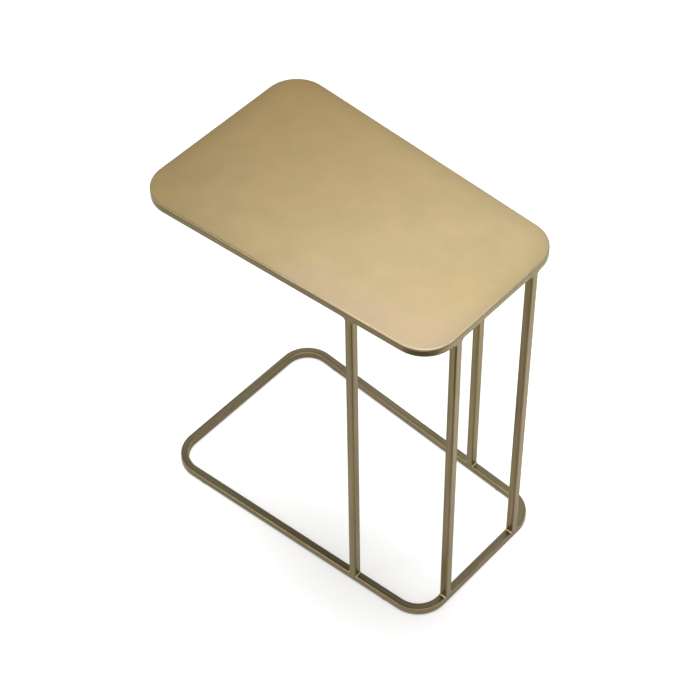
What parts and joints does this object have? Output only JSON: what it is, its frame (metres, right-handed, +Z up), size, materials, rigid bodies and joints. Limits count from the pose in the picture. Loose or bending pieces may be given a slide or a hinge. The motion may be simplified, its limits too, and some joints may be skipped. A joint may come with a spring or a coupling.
{
  "type": "sofa side table",
  "caption": "C-shaped sofa side table: a tapered metal top with rounded corners, carried at one end by upright square-tube legs on an open base loop that slides under a seat.",
  "frame": {"origin": "on the floor, under the middle of the table's outline, at the bottom centre of its bounding box", "axes": "+X along the length towards the narrow end with the four legs, -X towards the open end, -Y to the front, +Z up"},
  "size_m": [0.485, 0.3088, 0.572],
  "materials": {
    "sheet_brass": "satin",
    "tube_brass": "satin",
    "weld_brass": "satin",
    "glide_nylon": "matte"
  },
  "bodies": {
    "root": {"top_sheet": "sheet_brass", "top_sheet_stitch_welds": "weld_brass", "top_frame_tube": "tube_brass", "base_loop_tube": "tube_brass", "front_side_leg": "tube_brass", "front_side_leg_top_weld": "weld_brass", "front_side_leg_foot_weld": "weld_brass", "back_side_leg": "tube_brass", "back_side_leg_top_weld": "weld_brass", "back_side_leg_foot_weld": "weld_brass", "front_end_leg": "tube_brass", "front_end_leg_top_weld": "weld_brass", "front_end_leg_foot_weld": "weld_brass", "back_end_leg": "tube_brass", "back_end_leg_top_weld": "weld_brass", "back_end_leg_foot_weld": "weld_brass", "front_wide_end_glide": "glide_nylon", "front_narrow_end_glide": "glide_nylon", "back_narrow_end_glide": "glide_nylon", "back_wide_end_glide": "glide_nylon"}
  },
  "joints": []
}
